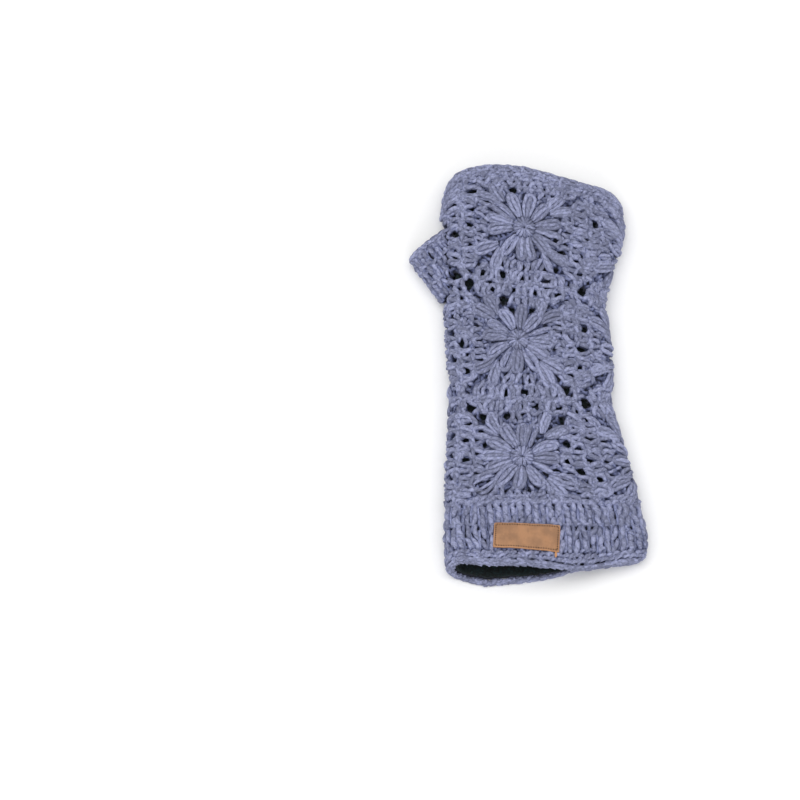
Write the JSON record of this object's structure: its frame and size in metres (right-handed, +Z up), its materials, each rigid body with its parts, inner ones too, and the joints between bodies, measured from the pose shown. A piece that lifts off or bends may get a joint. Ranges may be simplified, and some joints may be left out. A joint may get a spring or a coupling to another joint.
{
  "type": "crochet hand warmer",
  "caption": "Fingerless crochet hand warmer lying flat: a tube of flower granny squares with a tall-stitch cuff, a short thumb sleeve, a fleece lining and a small leather patch.",
  "frame": {"origin": "bottom centre of the hand warmer's box, on the surface it lies on", "axes": "+Y from the cuff to the fingers, +X to the right seen from above with the cuff towards the viewer, +Z up from the surface; the thumb sleeve is on the -X side"},
  "size_m": [0.138, 0.2542, 0.0228],
  "materials": {
    "wool_yarn": "lavender blue plied wool yarn, crocheted, slightly fuzzy",
    "fleece": "very dark green-black fleece",
    "leather": "tan leather with dark edge stitching"
  },
  "bodies": {
    "root": {"square_front_low": "wool_yarn", "square_front_mid": "wool_yarn", "square_front_top": "wool_yarn", "square_side_low": "wool_yarn", "square_side_mid": "wool_yarn", "square_side_top": "wool_yarn", "square_back_low": "wool_yarn", "square_back_mid": "wool_yarn", "square_back_top": "wool_yarn", "cuff_band": "wool_yarn", "cuff_edging": "wool_yarn", "finger_edging": "wool_yarn", "thumb_sleeve": "wool_yarn", "lining": "fleece", "leather_patch": "leather"}
  },
  "joints": []
}
